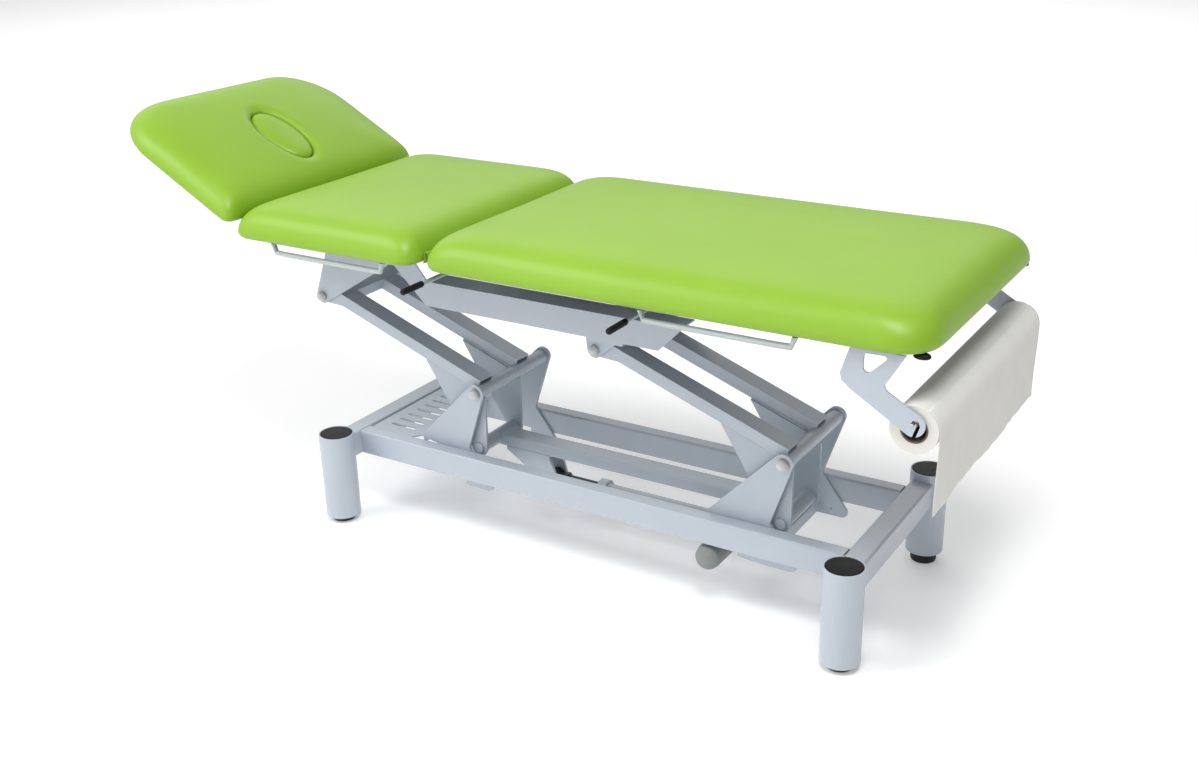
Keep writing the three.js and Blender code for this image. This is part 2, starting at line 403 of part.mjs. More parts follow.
// gas springs: barrel with an eye, rod with a cross pin
function gasSpring(name, Q, P, y0, barrelL, rodIn) {
  const L = Math.hypot(P[0] - Q[0], P[1] - Q[1]), a = Math.atan2(P[1] - Q[1], P[0] - Q[0]) * 180 / Math.PI;
  const at = m => toG(m).rotateY(-a * Math.PI / 180).translate(Q[0], y0, Q[1]);
  const b = D(U(cylX(0, 0, SPRING_R, 14, barrelL, 28), plY(hull([...circ(0, 0, 8, 20), [18, 6], [18, -6]]), -6, 6), cylY(0, 0, 4, -13, 13, 16)),
    cylX(0, 0, 7.5, 22, barrelL - 8, 20), cylX(0, 0, 4.3, 20, barrelL + 1, 16));
  put(name + '_barrel', at(b), 'darkrod');
  const r = U(cylX(0, 0, 4, L - rodIn, L, 16), cylX(0, 0, 7, L - rodIn, L - rodIn + 8, 20), cylX(0, 0, 6.5, L - 20, L - 4, 16), cylY(L, 0, 6.5, -7.5, 7.5, 20));
  put(name + '_rod', at(r), 'chrome');
}
gasSpring('gas_spring_leg', LEG_Q, LEG_P, 0, 215, 245);
gasSpring('gas_spring_head', HEAD_Q, HEAD_P, HEAD_SY, 128, 133);
// release levers: bent bar and grip
const lever = (x, z, yin) => U(cylY(x, z, 4.5, -300, yin, 16), cylY(x, z, 6.3, -350, -288, 20));
put('lever_head', lever(-269, 617, -117), 'black');
put('lever_leg', lever(187, 617, -129.3), 'black');

export default group;
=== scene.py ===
import bpy, bmesh, json, math
import numpy as np
from mathutils import Vector, Matrix


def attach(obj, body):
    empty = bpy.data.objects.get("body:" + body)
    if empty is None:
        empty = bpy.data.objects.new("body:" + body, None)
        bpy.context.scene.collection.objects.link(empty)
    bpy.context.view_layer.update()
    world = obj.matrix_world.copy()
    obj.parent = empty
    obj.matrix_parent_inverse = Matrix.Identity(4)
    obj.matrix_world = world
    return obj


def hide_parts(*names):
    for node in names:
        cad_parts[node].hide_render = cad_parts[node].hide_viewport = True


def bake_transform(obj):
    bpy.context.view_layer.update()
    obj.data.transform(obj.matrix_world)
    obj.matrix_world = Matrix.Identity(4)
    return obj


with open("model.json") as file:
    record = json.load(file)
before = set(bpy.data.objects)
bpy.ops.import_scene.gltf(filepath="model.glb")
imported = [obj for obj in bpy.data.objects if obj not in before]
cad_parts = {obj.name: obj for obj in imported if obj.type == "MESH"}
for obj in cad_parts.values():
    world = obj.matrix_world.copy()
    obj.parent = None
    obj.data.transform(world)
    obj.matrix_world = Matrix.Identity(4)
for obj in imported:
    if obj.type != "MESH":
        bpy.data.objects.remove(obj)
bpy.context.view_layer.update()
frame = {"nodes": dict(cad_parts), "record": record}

SH = (169.29, 16.0, 0.0)          # base centre to row origin, mm


def W(x, y, z):
    return Vector(((x + SH[0]) / 1000, (y + SH[1]) / 1000, (z + SH[2]) / 1000))


scene = bpy.context.scene

# ------------------------------------------------------------------ camera
cam_data = bpy.data.cameras.new("Camera")
cam_data.lens = 1377.2893 / 1198 * 36
cam_data.sensor_width = 36
cam = bpy.data.objects.new("Camera", cam_data)
scene.collection.objects.link(cam)
R = [(0.8522959, 0.5226404, -0.0209478), (-0.1806613, 0.3317247, 0.9259159), (-0.4908699, 0.7853698, -0.3771485)]
m = Matrix.Identity(4)
for i in range(3):
    m[i][0], m[i][1], m[i][2] = R[0][i], R[1][i], -R[2][i]
m.translation = W(1359.857, -2258.732, 1439.079)
cam.matrix_world = m
scene.camera = cam


# ------------------------------------------------------------------ materials
def srgb(r, g, b):
    f = lambda c: (c / 255) / 12.92 if c / 255 <= 0.04045 else ((c / 255 + 0.055) / 1.055) ** 2.4
    return (f(r), f(g), f(b), 1)


def mat(name, colour, rough, metal=0.0, var=0.04, var_scale=9.0, rvar=0.08, bump=(), sheen=0.0, coat=0.0, spec=None, edge=0.0):
    """Principled material: mottled colour and roughness, and stacked bump layers.
    bump: list of (kind, scale, strength, distance)"""
    m = bpy.data.materials.new(name)
    m.use_nodes = True
    nt = m.node_tree
    N, L = nt.nodes, nt.links
    b = N["Principled BSDF"]
    b.inputs["Metallic"].default_value = metal
    if sheen:
        b.inputs["Sheen Weight"].default_value = sheen
        b.inputs["Sheen Roughness"].default_value = 0.5
    if coat:
        b.inputs["Coat Weight"].default_value = coat
        b.inputs["Coat Roughness"].default_value = 0.25
    if spec is not None:
        b.inputs["Specular IOR Level"].default_value = spec
    tc = N.new("ShaderNodeTexCoord")
    n1 = N.new("ShaderNodeTexNoise")
    n1.inputs["Scale"].default_value = var_scale
    n1.inputs["Detail"].default_value = 6
    n1.inputs["Roughness"].default_value = 0.6
    L.new(tc.outputs["Object"], n1.inputs["Vector"])
    cr = N.new("ShaderNodeValToRGB")
    c = colour
    lo = tuple(max(0, x * (1 - var * 2)) for x in c[:3]) + (1,)
    hi = tuple(min(1, x * (1 + var * 2)) for x in c[:3]) + (1,)
    cr.color_ramp.elements[0].position, cr.color_ramp.elements[1].position = 0.3, 0.7
    cr.color_ramp.elements[0].color, cr.color_ramp.elements[1].color = lo, hi
    L.new(n1.outputs["Fac"], cr.inputs["Fac"])
    last = cr.outputs["Color"]
    if edge:
        ge = N.new("ShaderNodeNewGeometry")
        er = N.new("ShaderNodeValToRGB")
        er.color_ramp.elements[0].position, er.color_ramp.elements[1].position = 0.52, 0.62
        er.color_ramp.elements[0].color, er.color_ramp.elements[1].color = (0, 0, 0, 1), (edge, edge, edge, 1)
        L.new(ge.outputs["Pointiness"], er.inputs["Fac"])
        mx = N.new("ShaderNodeMixRGB")
        mx.blend_type = "ADD"
        mx.inputs["Fac"].default_value = 1
        L.new(last, mx.inputs["Color1"])
        L.new(er.outputs["Color"], mx.inputs["Color2"])
        last = mx.outputs["Color"]
    L.new(last, b.inputs["Base Color"])
    n2 = N.new("ShaderNodeTexNoise")
    n2.inputs["Scale"].default_value = var_scale * 4.3
    n2.inputs["Detail"].default_value = 4
    L.new(tc.outputs["Object"], n2.inputs["Vector"])
    mr = N.new("ShaderNodeMapRange")
    mr.inputs["To Min"].default_value = max(0.02, rough - rvar)
    mr.inputs["To Max"].default_value = min(1, rough + rvar)
    L.new(n2.outputs["Fac"], mr.inputs["Value"])
    L.new(mr.outputs["Result"], b.inputs["Roughness"])
    prev = None
    for kind, sc, st, dist in bump:
        if kind == "noise":
            t = N.new("ShaderNodeTexNoise"); t.inputs["Detail"].default_value = 3; out = t.outputs["Fac"]
        elif kind == "grain":
            t = N.new("ShaderNodeTexVoronoi"); t.feature = "SMOOTH_F1"; out = t.outputs["Distance"]
        elif kind == "cells":
            t = N.new("ShaderNodeTexVoronoi"); t.feature = "DISTANCE_TO_EDGE"; out = t.outputs["Distance"]
        elif kind == "wavex":
            t = N.new("ShaderNodeTexWave"); t.bands_direction = "X"; out = t.outputs["Fac"]
        elif kind == "wavey":
            t = N.new("ShaderNodeTexWave"); t.bands_direction = "Y"; out = t.outputs["Fac"]
        t.inputs["Scale"].default_value = sc
        L.new(tc.outputs["Object"], t.inputs["Vector"])
        bp = N.new("ShaderNodeBump")
        bp.inputs["Strength"].default_value = st
        bp.inputs["Distance"].default_value = dist
        L.new(out, bp.inputs["Height"])
        if prev is not None:
            L.new(prev, bp.inputs["Normal"])
        prev = bp.outputs["Normal"]
    if prev is not None:
        L.new(prev, b.inputs["Normal"])
    return m


POWDER = mat("powder_coat", srgb(177, 186, 196), 0.36, 0.0, 0.015, 6, 0.05, [("noise", 700, 0.10, 0.0004)], coat=0.25, edge=0.05)
VINYL = mat("vinyl_green", srgb(138, 180, 44), 0.42, 0.0, 0.02, 3.5, 0.04, [("grain", 900, 0.10, 0.0003), ("noise", 240, 0.06, 0.0006)], spec=0.5)
# darker copy of the pad vinyl for the fold strips: painted shade for the creases at the pad joints
VINYL_FOLD_SHADED = mat("vinyl_fold_painted_shade", srgb(126, 168, 40), 0.42, 0.0, 0.03, 9, 0.05, [("grain", 900, 0.12, 0.0003), ("noise", 60, 0.25, 0.0015)])
BLACK = mat("black_plastic", srgb(9, 8, 10), 0.52, 0.0, 0.10, 20, 0.08, [("noise", 900, 0.18, 0.0003)], spec=0.3)
RUBBER = mat("foot_rubber", srgb(16, 16, 18), 0.62, 0.0, 0.12, 25, 0.08, [("noise", 600, 0.3, 0.0004)])
GREY_RUBBER = mat("pedal_rubber", srgb(136, 141, 138), 0.66, 0.0, 0.05, 18, 0.06, [("noise", 500, 0.3, 0.0005), ("wavey", 55, 0.10, 0.0006)])
ZINC = mat("zinc_plate", srgb(196, 197, 194), 0.30, 0.9, 0.05, 40, 0.08, [("noise", 1400, 0.08, 0.0002)])
WIRE = mat("wire_coat", srgb(182, 190, 190), 0.32, 0.1, 0.02, 12, 0.05, [("noise", 800, 0.08, 0.0003)], coat=0.3)
CHROME = mat("spring_rod", srgb(210, 212, 214), 0.14, 1.0, 0.02, 30, 0.04, [("noise", 1200, 0.04, 0.0001)])
DARK = mat("dark_steel", srgb(58, 60, 64), 0.34, 0.75, 0.08, 40, 0.08, [("wavex", 260, 0.35, 0.0006)])
HYD = mat("hydraulic_paint", srgb(186, 192, 194), 0.38, 0.15, 0.03, 14, 0.06, [("noise", 400, 0.15, 0.0005)])
BOLT_CAP = mat("bolt_cap_plastic", srgb(206, 208, 210), 0.40, 0.0, 0.02, 30, 0.05, [("noise", 700, 0.10, 0.0003)])
UNDER = mat("pad_underside", srgb(92, 93, 92), 0.85, 0.0, 0.06, 30, 0.06, [("cells", 900, 0.3, 0.0003)])
CARD = mat("core_card", srgb(104, 90, 82), 0.85, 0.0, 0.08, 60, 0.06, [("noise", 500, 0.4, 0.0005)])
PAPER = mat("paper_crepe", srgb(232, 231, 226), 0.9, 0.0, 0.012, 15, 0.04, [("noise", 160, 0.35, 0.0008), ("wavex", 230, 0.05, 0.0003)], spec=0.2)


def roll_material():
    """Paper roll: crepe outside, wound layers on the end faces."""
    m = PAPER.copy(); m.name = "paper_roll_wound"
    nt = m.node_tree; N, L = nt.nodes, nt.links
    tc = [n for n in N if n.bl_idname == "ShaderNodeTexCoord"][0]
    mp = N.new("ShaderNodeMapping")
    c = W(722, 0, 524)
    mp.inputs["Location"].default_value = (-c.x, 0, -c.z)
    mp.inputs["Scale"].default_value = (1, 0, 1)
    L.new(tc.outputs["Object"], mp.inputs["Vector"])
    wv = N.new("ShaderNodeTexWave"); wv.wave_type = "RINGS"; wv.rings_direction = "SPHERICAL"
    wv.inputs["Scale"].default_value = 150
    wv.inputs["Distortion"].default_value = 1.2
    wv.inputs["Detail"].default_value = 1
    L.new(mp.outputs["Vector"], wv.inputs["Vector"])
    ge = N.new("ShaderNodeNewGeometry"); sp = N.new("ShaderNodeSeparateXYZ")
    L.new(ge.outputs["Normal"], sp.inputs["Vector"])
    ab = N.new("ShaderNodeMath"); ab.operation = "ABSOLUTE"; L.new(sp.outputs["Y"], ab.inputs[0])
    gt = N.new("ShaderNodeMath"); gt.operation = "GREATER_THAN"; gt.inputs[1].default_value = 0.7; L.new(ab.outputs[0], gt.inputs[0])
    ml = N.new("ShaderNodeMath"); ml.operation = "MULTIPLY"; L.new(wv.outputs["Fac"], ml.inputs[0]); L.new(gt.outputs[0], ml.inputs[1])
    mx = N.new("ShaderNodeMixRGB"); mx.blend_type = "MULTIPLY"
    m2 = N.new("ShaderNodeMath"); m2.operation = "MULTIPLY"; m2.inputs[1].default_value = 0.35; L.new(ml.outputs[0], m2.inputs[0])
    L.new(m2.outputs[0], mx.inputs["Fac"])
    b = N["Principled BSDF"]
    src = b.inputs["Base Color"].links[0].from_socket
    L.new(src, mx.inputs["Color1"]); mx.inputs["Color2"].default_value = (0.55, 0.54, 0.5, 1)
    L.new(mx.outputs["Color"], b.inputs["Base Color"])
    return m


ROLL_MAT = roll_material()

SLOT_MAT = {"powder_coat": POWDER, "black_plastic": BLACK, "foot_rubber": RUBBER, "vinyl": VINYL, "zinc": ZINC, "wire": WIRE,
            "cardboard": CARD, "paper": PAPER, "pedal_rubber": GREY_RUBBER, "hydraulic": HYD, "dark_steel": DARK,
            "chrome": CHROME, "lever_grip": BLACK}
for sp_ in frame["record"]["subparts"]:
    o = frame["nodes"][sp_["node"]]
    mt = ROLL_MAT if sp_["node"] == "paper_roll" else SLOT_MAT[sp_["material_slot"]]
    if not o.material_slots:
        o.data.materials.append(mt)
    for s in o.material_slots:
        s.material = mt


# ------------------------------------------------------------------ helpers
def obj_from(name, verts, faces, material, smooth=True):
    me = bpy.data.meshes.new(name)
    me.from_pydata([tuple(v) for v in verts], [], faces)
    me.validate()
    o = bpy.data.objects.new(name, me)
    scene.collection.objects.link(o)
    me.materials.append(material)
    if smooth:
        me.polygons.foreach_set("use_smooth", [True] * len(me.polygons))
    return o


def active(o):
    bpy.ops.object.select_all(action="DESELECT")
    o.select_set(True)
    bpy.context.view_layer.objects.active = o


def apply_mods(o):
    active(o)
    for md in list(o.modifiers):
        bpy.ops.object.modifier_apply(modifier=md.name)


def corner_ring(x0, x1, w, ra, rb, d, n, bow=None):
    """Closed ring, counter-clockwise, with the same number of points whatever the inset d."""
    X0, X1, Wd = x0 + d, x1 - d, w - d
    f = min(1, 0.96 * (X1 - X0) / (ra + rb + 0.4 * d))
    A, B = (ra + 0.2 * d) * f, (rb + 0.2 * d) * f
    pts = []

    def arc(cx, cy, r, a0, a1):
        for i in range(n + 1):
            a = math.radians(a0 + (a1 - a0) * i / n)
            pts.append((cx + r * math.cos(a), cy + r * math.sin(a)))

    def line(p, q, k):
        for i in range(1, k):
            t = i / k
            pts.append((p[0] + (q[0] - p[0]) * t, p[1] + (q[1] - p[1]) * t))
    arc(X1 - B, Wd - B, B, 0, 90); line(pts[-1], (X0 + A, Wd), 16)
    arc(X0 + A, Wd - A, A, 90, 180); line(pts[-1], (X0, -Wd + A), 12)
    arc(X0 + A, -Wd + A, A, 180, 270); line(pts[-1], (X1 - B, -Wd), 16)
    arc(X1 - B, -Wd + B, B, 270, 360); line(pts[-1], pts[0], 12)
    if bow:
        pts = [bow(p, d) for p in pts]
    return pts


SHOULDER = [(0, 9), (0.8, 5), (3, 2), (7, 0.5), (12, 0.0), (18, 0.5), (24, 2.0), (31, 4.4), (38, 7.8), (45, 12.6), (51, 18.2), (56, 24.5),
            (60, 32), (63.5, 41), (66.3, 51), (68.6, 63), (70.5, 77), (72.1, 95), (73.3, 116), (74.2, 140), (74.7, 158)]


def pad_mesh(name, x0, x1, w, ra, rb, z0, T, spread=1.0, bow=None, n=10):
    """Cushion as stacked rings in base-frame mm: low upright side, long shoulder, slight crown."""
    prof = [(h if h <= 12 else 12 + (h - 12) * (T - 12) / 63, d if h <= 12 else d * spread) for h, d in SHOULDER]
    rings = [[(p[0], p[1], z0 + h) for p in corner_ring(x0, x1, w, ra, rb, d, n, bow)] for h, d in prof]
    k = len(rings[0])
    V = [v for r in rings for v in r]
    F = []
    for r in range(len(rings) - 1):
        for i in range(k):
            j = (i + 1) % k
            F.append((r * k + i, r * k + j, (r + 1) * k + j, (r + 1) * k + i))
    cx, cy = (x0 + x1) / 2, 0
    V.append((cx, cy, z0)); V.append((cx, cy, z0 + T))
    b = len(V) - 2
    for i in range(k):
        j = (i + 1) % k
        F.append((b, j, i)); F.append((b + 1, (len(rings) - 1) * k + i, (len(rings) - 1) * k + j))
    return V, F


def inflate(o, voxel, cap, pressure=4.0, keep=None):
    """Cloth pass on a closed pad: voxel remesh, swell, cap the travel, smooth the travel out."""
    active(o)
    rm = o.modifiers.new("remesh", "REMESH")
    rm.mode = "VOXEL"; rm.voxel_size = voxel; rm.use_smooth_shade = True
    bpy.ops.object.modifier_apply(modifier=rm.name)
    n = len(o.data.vertices)
    a = np.zeros(n * 3, np.float32); o.data.vertices.foreach_get("co", a)
    cl = o.modifiers.new("cloth", "CLOTH")
    st = cl.settings
    st.quality = 4
    st.use_pressure = True
    st.uniform_pressure_force = pressure
    st.effector_weights.gravity = 0
    st.tension_stiffness = 25; st.compression_stiffness = 25; st.bending_stiffness = 3
    cl.collision_settings.use_collision = False
    scene.frame_start, scene.frame_end = 1, 14
    cl.point_cache.frame_start, cl.point_cache.frame_end = 1, 14
    for f in range(1, 15):
        scene.frame_set(f)
    dg = bpy.context.evaluated_depsgraph_get()
    ev = o.evaluated_get(dg)
    c = np.zeros(n * 3, np.float32); ev.data.vertices.foreach_get("co", c)
    a, c = a.reshape(-1, 3), c.reshape(-1, 3)
    d = c - a
    ln = np.linalg.norm(d, axis=1, keepdims=True)
    d *= np.minimum(1, cap / np.maximum(ln, 1e-9))
    # even the swelling out over the cover
    e = np.zeros(len(o.data.edges) * 2, np.int32); o.data.edges.foreach_get("vertices", e)
    e = e.reshape(-1, 2)
    deg = np.bincount(e.ravel(), minlength=n).astype(np.float32)[:, None]
    for _ in range(60):
        q = np.stack([np.bincount(e[:, 0], weights=d[e[:, 1], k], minlength=n) + np.bincount(e[:, 1], weights=d[e[:, 0], k], minlength=n) for k in range(3)], 1)
        d = 0.3 * d + 0.7 * q / np.maximum(deg, 1)
    if keep is not None:
        d *= keep(a)[:, None]
    o.modifiers.remove(cl)
    o.data.vertices.foreach_set("co", (a + d).astype(np.float32).ravel())
    o.data.update()
    scene.frame_set(1)


def smooth(o, factor=0.5, it=3):
    md = o.modifiers.new("sm", "SMOOTH"); md.factor = factor; md.iterations = it
    apply_mods(o)


# ------------------------------------------------------------------ pads
PAD_Z0, PAD_T = 650, 75


def underside(o, up):
    """Backing cloth on the flat bottom, a little in from the edge."""
    o.data.materials.append(UNDER)
    zs = [v.co.dot(up) for v in o.data.vertices]
    lo = min(zs)
    for f in o.data.polygons:
        if f.normal.dot(up) < -0.93 and f.center.dot(up) < lo + 0.0016:
            f.material_index = 1


def make_pad(name, x0, x1, ra, rb, body, node, voxel=0.0065):
    V, F = pad_mesh(name, x0, x1, 316.5, ra, rb, PAD_Z0, PAD_T - 3.0)
    o = obj_from(name, [W(*v) for v in V], F, VINYL)
    inflate(o, voxel, 0.0035, keep=lambda a: np.clip((a[:, 2] - 0.652) / 0.02, 0, 1))
    smooth(o, 0.6, 9)
    sb = o.modifiers.new("sub", "SUBSURF"); sb.levels = sb.render_levels = 1
    apply_mods(o)
    o.data.polygons.foreach_set("use_smooth", [True] * len(o.data.polygons))
    underside(o, Vector((0, 0, 1)))
    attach(o, body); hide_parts(node)
    return o


make_pad("pad_middle", -751, -277.5, 38, 34, "upper_frame", "mid_pad")
make_pad("pad_long", -261.5, 747, 50, 72, "long_section", "leg_pad", 0.0075)

# headrest pad, built level then tilted about its hinge
HX, HZ, TILT = -772, 634, math.radians(28.5)
HEAD_IN, HEAD_OUT, HEAD_N, HEAD_T = 12, 395, 34, 62
PLUG_S, PLUG_A, PLUG_B = 173, 87, 51


def head_to_world(s, y, n):
    """s along the headrest from the hinge, n above the hinge line."""
    c, sn = math.cos(TILT), math.sin(TILT)
    return (HX - s * c + n * sn, y, HZ + s * sn + n * c)


def head_bow(p, d):
    x, y = p
    t = max(0.0, min(1.0, (-x - 200) / 150))
    return (x - t * 6 * (1 - (y / 310) ** 2), y)


def make_head():
    V, F = pad_mesh("pad_head", -HEAD_OUT, -HEAD_IN, 309, 128, 18, HEAD_N, HEAD_T - 2.0, 1.12, bow=head_bow)
    o = obj_from("pad_head", [(v[0] / 1000, v[1] / 1000, v[2] / 1000) for v in V], F, VINYL)
    inflate(o, 0.0065, 0.0035, keep=lambda a: np.clip((a[:, 2] - (HEAD_N + 2) / 1000) / 0.02, 0, 1))
    smooth(o, 0.6, 9)
    # oval well for the face plug
    seg = 64
    Vc, Fc = [], []
    for z in (-0.02, 0.20):
        for i in range(seg):
            a = 2 * math.pi * i / seg
            Vc.append((-PLUG_S / 1000 + (PLUG_A + 1.5) / 1000 * math.cos(a), (PLUG_B + 1.5) / 1000 * math.sin(a), z))
    for i in range(seg):
        j = (i + 1) % seg
        Fc.append((i, j, seg + j, seg + i))
    Fc.append(tuple(reversed(range(seg)))); Fc.append(tuple(range(seg, 2 * seg)))
    cutter = obj_from("cutter", Vc, Fc, VINYL, False)
    bo = o.modifiers.new("cut", "BOOLEAN"); bo.operation = "DIFFERENCE"; bo.object = cutter; bo.solver = "EXACT"
    apply_mods(o)
    bpy.data.objects.remove(cutter)
    # roll the rim of the well over, as the cover is pulled down into it
    me = o.data
    top = (HEAD_N + HEAD_T) / 1000
    for v in me.vertices:
        x, y = (v.co.x + PLUG_S / 1000) / ((PLUG_A + 1.5) / 1000), v.co.y / ((PLUG_B + 1.5) / 1000)
        r = math.hypot(x, y)
        if v.co.z > top - 0.012 and r < 1.35:
            e = (r - 1) * PLUG_B / 1000
            if e < 0.014:
                v.co.z -= 0.0075 * (1 - max(e, 0) / 0.014) ** 2
    me.polygons.foreach_set("use_smooth", [True] * len(me.polygons))
    c, sn = math.cos(TILT), math.sin(TILT)
    for v in me.vertices:
        s, y, n = -v.co.x * 1000, v.co.y * 1000, v.co.z * 1000
        v.co = W(*head_to_world(s, y, n))
    me.update()
    underside(o, Vector((math.sin(TILT), 0, math.cos(TILT))))
    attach(o, "headrest"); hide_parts("head_pad")
    # plug
    prof = [(4, 3), (8, 1.0), (HEAD_T - 20, 0.6), (HEAD_T - 12, 1.4), (HEAD_T - 8, 3.6), (HEAD_T - 5, 7.5), (HEAD_T - 2.8, 13), (HEAD_T - 1.4, 21), (HEAD_T - 0.4, 34)]
    k = 72
    V, F = [], []
    for h, d in prof:
        for i in range(k):
            a = 2 * math.pi * i / k
            V.append((PLUG_S + (PLUG_A - d) * math.cos(a), (PLUG_B - d) * math.sin(a), HEAD_N + h))
    for r in range(len(prof) - 1):
        for i in range(k):
            j = (i + 1) % k
            F.append((r * k + i, (r + 1) * k + i, (r + 1) * k + j, r * k + j))
    V.append((PLUG_S, 0, HEAD_N + 4)); V.append((PLUG_S, 0, HEAD_N + HEAD_T + 0.2))
    b = len(V) - 2
    for i in range(k):
        j = (i + 1) % k
        F.append((b, i, j)); F.append((b + 1, (len(prof) - 1) * k + j, (len(prof) - 1) * k + i))
    p = obj_from("plug_cushion", [W(*head_to_world(*v)) for v in V], F, VINYL)
    sb = p.modifiers.new("sub", "SUBSURF"); sb.levels = sb.render_levels = 1
    apply_mods(p)
    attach(p, "face_plug"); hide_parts("head_plug")


make_head()


# ------------------------------------------------------------------ vinyl folds across the two pad joints
def fold(name, prof_at, ys, th=1.3):
    """Thin strip: for each y, an open profile of (x, z) points, given a thickness."""
    V, F = [], []
    rows = []
    for y in ys:
        P = prof_at(y)
        n = len(P)
        up, dn = [], []
        for i, q in enumerate(P):
            a, b = P[max(i - 1, 0)], P[min(i + 1, n - 1)]
            t = Vector((b[0] - a[0], b[1] - a[1])).normalized()
            nn = Vector((-t.y, t.x)) * th / 2
            up.append((q[0] + nn.x, y, q[1] + nn.y)); dn.append((q[0] - nn.x, y, q[1] - nn.y))
        rows.append(up + dn[::-1])
    k = len(rows[0])
    for r in rows:
        V += r
    for r in range(len(rows) - 1):
        for i in range(k):
            j = (i + 1) % k
            F.append((r * k + i, (r + 1) * k + i, (r + 1) * k + j, r * k + j))
    F.append(tuple(range(k))); F.append(tuple(reversed(range((len(rows) - 1) * k, len(rows) * k))))
    # the fold strips take the darker vinyl copy, painted shade for the crease
    return obj_from(name, [W(*v) for v in V], F, VINYL_FOLD_SHADED)


def tent(y, lo, hi):
    """Arch height: low along the joint, raised over the two hinge plates."""
    e = max(0.0, 1 - max(0.0, abs(abs(y) - 100) - 9) / 22)
    e = e * e * (3 - 2 * e)
    return lo + (hi - lo) * e


YS = [-270 + 540 * i / 135 for i in range(136)]
YH = [-266 + 532 * i / 133 for i in range(134)]


def long_fold(y):
    pk = tent(y, 674, 680) + 1.2 * math.sin(y * 0.11) + 0.8 * math.sin(y * 0.043 + 1)
    out = []
    for i in range(15):
        t = i / 14
        x = -277.0 + 15.0 * t
        z = 651.5 + (pk - 651.5) * math.sin(math.pi * t) ** 0.62
        out.append((x + 0.5 * math.sin(y * 0.07), z))
    return out


lf = fold("fold_long", long_fold, YS)
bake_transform(lf)


def head_fold(y):
    a = (-751.5, 656.0)
    b = head_to_world(12.5, 0, HEAD_N + 4)
    b = (b[0], b[2])
    pk = 12 + (tent(y, 0, 6)) + 1.0 * math.sin(y * 0.1)
    out = []
    for i in range(15):
        t = i / 14
        x, z = a[0] + (b[0] - a[0]) * t, a[1] + (b[1] - a[1]) * t
        h = pk * math.sin(math.pi * t) ** 0.7
        out.append((x + h * 0.28, z + h))
    return out[::-1]


hf = fold("fold_head", head_fold, YH)
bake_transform(hf)


# ------------------------------------------------------------------ paper tail: a hanging sheet leaving the roll
def paper_tail():
    x0, z0 = 722, 524
    r = 42.3
    pts = []
    for i in range(9):                       # last part of the wrap, lying on the roll
        a = math.radians(62 - 62 * i / 8)
        pts.append((x0 + r * math.cos(a), z0 + r * math.sin(a)))
    zb = 377.0
    for i in range(1, 27):
        t = i / 26
        z = z0 + (zb - z0) * t
        pts.append((x0 + r - 3.5 * math.sin(math.pi * t * 0.75) * t, z))
    ys = [-290.5 + 581 * i / 90 for i in range(91)]
    V, F = [], []
    k = len(pts)
    for y in ys:
        for i, (x, z) in enumerate(pts):
            t = max(0, (i - 8) / (k - 9))
            w = t * (1.6 * math.sin(y * 0.021 + 0.6) + 0.8 * math.sin(y * 0.058 + 2.0) * t) + 0.5 * t * math.sin(y * 0.13)
            V.append((x + w * 0.9, y, z - t * 1.2 * math.sin(y * 0.012)))
    for r_ in range(len(ys) - 1):
        for i in range(k - 1):
            F.append((r_ * k + i, r_ * k + i + 1, (r_ + 1) * k + i + 1, (r_ + 1) * k + i))
    o = obj_from("paper_sheet", [W(*v) for v in V], F, PAPER)
    sd = o.modifiers.new("thick", "SOLIDIFY"); sd.thickness = 0.0005; sd.offset = 1
    apply_mods(o)
    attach(o, "long_section"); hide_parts("paper_tail")
    return o


paper_tail()


# ------------------------------------------------------------------ release levers: steel rod and ribbed grip
def lathe_y(name, x, z, prof, material, seg=32):
    """prof: list of (y, radius) from one closed end to the other."""
    V, F = [], []
    for y, r in prof:
        for i in range(seg):
            a = 2 * math.pi * i / seg
            V.append((x + r * math.cos(a), y, z + r * math.sin(a)))
    for r_ in range(len(prof) - 1):
        for i in range(seg):
            j = (i + 1) % seg
            F.append((r_ * seg + i, (r_ + 1) * seg + i, (r_ + 1) * seg + j, r_ * seg + j))
    F.append(tuple(range(seg))); F.append(tuple(reversed(range((len(prof) - 1) * seg, len(prof) * seg))))
    o = obj_from(name, [W(*v) for v in V], F, material)
    return o


def lever(tag, x, z, yin, body, node):
    rod = lathe_y("lever_rod_" + tag, x, z, [(yin, 3.6), (yin - 1, 4.4), (-291, 4.4), (-292, 4.2)], WIRE)
    g = [(-350, 2.2), (-349.6, 4.6), (-348, 5.8), (-346, 6.3)]
    y = -344
    while y < -296:
        g += [(y, 6.3), (y + 0.8, 5.8), (y + 1.8, 5.8), (y + 2.6, 6.3)]
        y += 5
    g += [(-292, 6.3), (-289.5, 6.0), (-288, 5.0)]
    grip = lathe_y("lever_grip_" + tag, x, z, g, BLACK)
    for o in (rod, grip):
        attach(o, body)
    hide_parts(node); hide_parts(node)


lever("head", -269, 617, -117, "head_lever", "lever_head")
lever("long", 187, 617, -129.3, "long_lever", "lever_leg")

